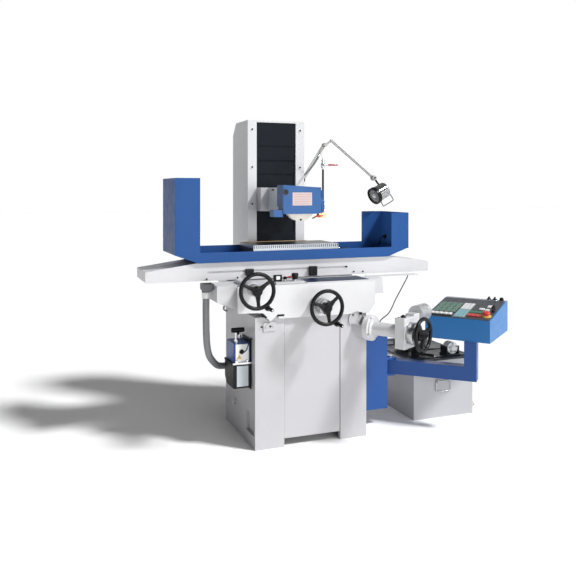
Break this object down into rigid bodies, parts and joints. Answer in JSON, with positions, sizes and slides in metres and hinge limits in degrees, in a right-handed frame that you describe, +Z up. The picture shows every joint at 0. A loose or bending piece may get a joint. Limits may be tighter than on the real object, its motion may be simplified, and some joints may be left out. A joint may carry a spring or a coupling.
{
  "type": "surface grinder",
  "caption": "Surface grinder with a cross saddle, a long table with a magnetic chuck and splash guard, a vertical wheel head, a swinging control pendant and a coolant tank.",
  "frame": {"origin": "on the floor, at the centre of the pattern of anchor holes in the base block", "axes": "+X right along the table's travel, +Y from the front to the back along the saddle's travel, +Z up"},
  "size_m": [2.1157, 1.2531, 1.755],
  "materials": {
    "base_casting": "light grey enamel",
    "base_covers": "light grey enamel",
    "column_casting": "light grey enamel",
    "fixed_way_covers": "satin black",
    "hydraulic_unit": "grey enamel",
    "lubricator": "black plastic and white cover",
    "feed_housing": "white enamel",
    "feed_motor": "cast grey",
    "pendant_pillar": "blue enamel",
    "coolant_tank": "grey enamel",
    "coolant_pumps": "dark grey enamel",
    "lamp_bracket": "satin",
    "hose_elbow": "dark grey",
    "drain_hose": "grey braided hose",
    "side_leads": "black rubber",
    "tank_handle": "round bar",
    "elevating_screw": "ground thread",
    "saddle_casting": "light enamel",
    "apron_panels": "white enamel",
    "drain_funnel": "dark grey",
    "valve_block": "grey steel",
    "table_cylinder": "steel tube",
    "speed_lever": "black plastic",
    "reverse_lever": "red plastic",
    "table_handwheel": "black phenolic",
    "table_wheel_handle": "black phenolic",
    "cross_handwheel": "black phenolic",
    "cross_wheel_handle": "black phenolic",
    "table_casting": "white enamel",
    "cylinder_rod": "hard chrome",
    "splash_guard": "blue enamel",
    "chuck_body": "ground steel",
    "chuck_plate": "ground laminated face",
    "chuck_lead": "black rubber",
    "dog_left": "black oxide",
    "dog_right": "black oxide",
    "head_slide": "white enamel",
    "head_covers": "satin black",
    "spindle_housing": "light grey enamel",
    "spindle_motor": "cast",
    "wheel_guard": "blue enamel",
    "coolant_line": "pipe, valve body and hose",
    "guard_cover": "blue enamel",
    "coolant_lever": "dark red grip",
    "nozzle_lever": "red grip",
    "spindle": "ground",
    "grinding_wheel": "bonded white abrasive",
    "upper_cover_high": "satin black",
    "upper_cover_low": "satin black",
    "feed_handwheel": "black phenolic",
    "feed_wheel_handle": "black phenolic",
    "swing_arm": "blue enamel",
    "console_box": "blue enamel",
    "console_panel": "dark keypad",
    "estop_button": "red mushroom",
    "selector_left": "black knob",
    "selector_middle": "black knob",
    "lamp_lower_arm": "satin",
    "lamp_upper_arm": "satin",
    "lamp_head": "ribbed, black rims"
  },
  "bodies": {
    "base": {"base_casting": "base_casting", "base_covers": "base_covers", "column_casting": "column_casting", "fixed_way_covers": "fixed_way_covers", "hydraulic_unit": "hydraulic_unit", "lubricator": "lubricator", "feed_housing": "feed_housing", "feed_motor": "feed_motor", "pendant_pillar": "pendant_pillar", "coolant_tank": "coolant_tank", "coolant_pumps": "coolant_pumps", "lamp_bracket": "lamp_bracket", "hose_elbow": "hose_elbow", "drain_hose": "drain_hose", "side_leads": "side_leads"},
    "tank_bail": {"tank_handle": "tank_handle"},
    "elevating_shaft": {"elevating_screw": "elevating_screw"},
    "saddle": {"saddle_casting": "saddle_casting", "apron_panels": "apron_panels", "drain_funnel": "drain_funnel", "valve_block": "valve_block", "table_cylinder": "table_cylinder"},
    "speed_knob": {"speed_lever": "speed_lever"},
    "reverse_arm": {"reverse_lever": "reverse_lever"},
    "table_wheel": {"table_handwheel": "table_handwheel"},
    "table_grip": {"table_wheel_handle": "table_wheel_handle"},
    "cross_wheel": {"cross_handwheel": "cross_handwheel"},
    "cross_grip": {"cross_wheel_handle": "cross_wheel_handle"},
    "table": {"table_casting": "table_casting", "cylinder_rod": "cylinder_rod", "splash_guard": "splash_guard", "chuck_body": "chuck_body", "chuck_plate": "chuck_plate", "chuck_lead": "chuck_lead"},
    "left_dog": {"dog_left": "dog_left"},
    "right_dog": {"dog_right": "dog_right"},
    "head": {"head_slide": "head_slide", "head_covers": "head_covers", "spindle_housing": "spindle_housing", "spindle_motor": "spindle_motor", "wheel_guard": "wheel_guard", "coolant_line": "coolant_line"},
    "wheel_door": {"guard_cover": "guard_cover"},
    "coolant_valve": {"coolant_lever": "coolant_lever"},
    "nozzle_valve": {"nozzle_lever": "nozzle_lever"},
    "wheel_spindle": {"spindle": "spindle", "grinding_wheel": "grinding_wheel"},
    "cover_high": {"upper_cover_high": "upper_cover_high"},
    "cover_low": {"upper_cover_low": "upper_cover_low"},
    "feed_wheel": {"feed_handwheel": "feed_handwheel"},
    "feed_grip": {"feed_wheel_handle": "feed_wheel_handle"},
    "pendant_arm": {"swing_arm": "swing_arm"},
    "console": {"console_box": "console_box", "console_panel": "console_panel"},
    "stop_button": {"estop_button": "estop_button"},
    "selector_one": {"selector_left": "selector_left"},
    "selector_two": {"selector_middle": "selector_middle"},
    "lamp_lower": {"lamp_lower_arm": "lamp_lower_arm"},
    "lamp_upper": {"lamp_upper_arm": "lamp_upper_arm"},
    "lamp_shade": {"lamp_head": "lamp_head"}
  },
  "joints": [
    {"name": "saddle_slide", "type": "slide", "parent": "base", "child": "saddle", "axis": [0, 1, 0], "range_m": [-0.25, 0]},
    {"name": "table_slide", "type": "slide", "parent": "saddle", "child": "table", "axis": [1, 0, 0], "range_m": [-0.28, 0.28]},
    {"name": "table_wheel_turn", "type": "hinge", "parent": "saddle", "child": "table_wheel", "pos_m": [-0.356, -0.426, 0.84], "axis": [0, -1, 0], "range_deg": [-1010, 1010]},
    {"name": "table_grip_spin", "type": "hinge", "parent": "table_wheel", "child": "table_grip", "pos_m": [-0.30274, -0.426, 0.75477], "axis": [0, -1, 0], "continuous": true},
    {"name": "cross_wheel_turn", "type": "hinge", "parent": "saddle", "child": "cross_wheel", "pos_m": [0.018, -0.426, 0.738], "axis": [0, -1, 0], "range_deg": [-18010, 10]},
    {"name": "cross_grip_spin", "type": "hinge", "parent": "cross_wheel", "child": "cross_grip", "pos_m": [0.07126, -0.426, 0.65277], "axis": [0, -1, 0], "continuous": true},
    {"name": "left_dog_slide", "type": "slide", "parent": "table", "child": "left_dog", "axis": [1, 0, 0], "range_m": [-0.2, 0.15]},
    {"name": "right_dog_slide", "type": "slide", "parent": "table", "child": "right_dog", "axis": [1, 0, 0], "range_m": [-0.15, 0.19]},
    {"name": "speed_knob_turn", "type": "hinge", "parent": "saddle", "child": "speed_knob", "pos_m": [-0.084, -0.236, 0.88], "axis": [0, 0, 1], "range_deg": [-135, 135]},
    {"name": "reverse_lever_turn", "type": "hinge", "parent": "saddle", "child": "reverse_arm", "pos_m": [-0.14, -0.236, 0.875], "axis": [0, 0, 1], "range_deg": [-30, 30]},
    {"name": "head_slide_move", "type": "slide", "parent": "base", "child": "head", "axis": [0, 0, 1], "range_m": [-0.125, 0.25]},
    {"name": "cover_high_move", "type": "slide", "parent": "base", "child": "cover_high", "axis": [0, 0, 1], "range_m": [-0.0418, 0.0835]},
    {"name": "cover_low_move", "type": "slide", "parent": "base", "child": "cover_low", "axis": [0, 0, 1], "range_m": [-0.0835, 0.1668]},
    {"name": "elevating_screw_turn", "type": "hinge", "parent": "base", "child": "elevating_shaft", "pos_m": [0, 0.54, 0.7], "axis": [0, 0, 1], "range_deg": [-9010, 18010]},
    {"name": "feed_wheel_turn", "type": "hinge", "parent": "base", "child": "feed_wheel", "pos_m": [0.48541, -0.58358, 0.595], "axis": [0.515, -0.8572, 0], "range_deg": [-9010, 18010]},
    {"name": "feed_grip_spin", "type": "hinge", "parent": "feed_wheel", "child": "feed_grip", "pos_m": [0.47098, -0.59226, 0.49947], "axis": [0.515, -0.8572, 0], "continuous": true},
    {"name": "wheel_door_hinge", "type": "hinge", "parent": "head", "child": "wheel_door", "pos_m": [0.119, -0.128, 1.276], "axis": [0, 0, 1], "range_deg": [0, 110]},
    {"name": "coolant_valve_turn", "type": "hinge", "parent": "head", "child": "coolant_valve", "pos_m": [0.155, -0.06, 1.479], "axis": [0, 1, 0], "range_deg": [0, 90]},
    {"name": "nozzle_valve_turn", "type": "hinge", "parent": "head", "child": "nozzle_valve", "pos_m": [0.135, -0.06, 1.195], "axis": [0, 1, 0], "range_deg": [-90, 0]},
    {"name": "spindle_spin", "type": "hinge", "parent": "head", "child": "wheel_spindle", "pos_m": [0, 0, 1.256], "axis": [0, 1, 0], "continuous": true},
    {"name": "arm_swing", "type": "hinge", "parent": "base", "child": "pendant_arm", "pos_m": [0.564, -0.094, 0.32], "axis": [0, 0, 1], "range_deg": [-15, 2]},
    {"name": "console_swivel", "type": "hinge", "parent": "pendant_arm", "child": "console", "pos_m": [0.907, -0.418, 0.5], "axis": [0, 0, 1], "range_deg": [-30, 15]},
    {"name": "stop_button_press", "type": "slide", "parent": "console", "child": "stop_button", "axis": [0.111, 0.0912, -0.9896], "range_m": [0, 0.004], "stiffness_N_per_m": 900},
    {"name": "selector_one_turn", "type": "hinge", "parent": "console", "child": "selector_one", "pos_m": [1.18994, -0.18229, 0.683], "axis": [0, 0, 1], "range_deg": [-45, 45]},
    {"name": "selector_two_turn", "type": "hinge", "parent": "console", "child": "selector_two", "pos_m": [1.21152, -0.20857, 0.683], "axis": [0, 0, 1], "range_deg": [-45, 45]},
    {"name": "tank_handle_swing", "type": "hinge", "parent": "base", "child": "tank_bail", "pos_m": [0.887, -0.157, 0.215], "axis": [1, 0, 0], "range_deg": [-170, 0]},
    {"name": "lamp_swivel", "type": "hinge", "parent": "base", "child": "lamp_lower", "pos_m": [0.205, 0.37, 1.395], "axis": [0, 0, 1], "range_deg": [-30, 50]},
    {"name": "lamp_elbow_turn", "type": "hinge", "parent": "lamp_lower", "child": "lamp_upper", "pos_m": [0.342, 0.336, 1.621], "axis": [0, 1, 0], "range_deg": [-45, 0]},
    {"name": "lamp_tilt", "type": "hinge", "parent": "lamp_upper", "child": "lamp_shade", "pos_m": [0.642, 0.255, 1.414], "axis": [0, 1, 0], "range_deg": [-25, 25]}
  ],
  "couplings": [
    {"joint": "table_wheel_turn", "follows": "table_slide", "rad_per_m": 62.832},
    {"joint": "cross_wheel_turn", "follows": "saddle_slide", "rad_per_m": 1256.6},
    {"joint": "cover_high_move", "follows": "head_slide_move", "ratio": 0.33333},
    {"joint": "cover_low_move", "follows": "head_slide_move", "ratio": 0.66667},
    {"joint": "elevating_screw_turn", "follows": "head_slide_move", "rad_per_m": 1256.6},
    {"joint": "feed_wheel_turn", "follows": "head_slide_move", "rad_per_m": 1256.6}
  ]
}
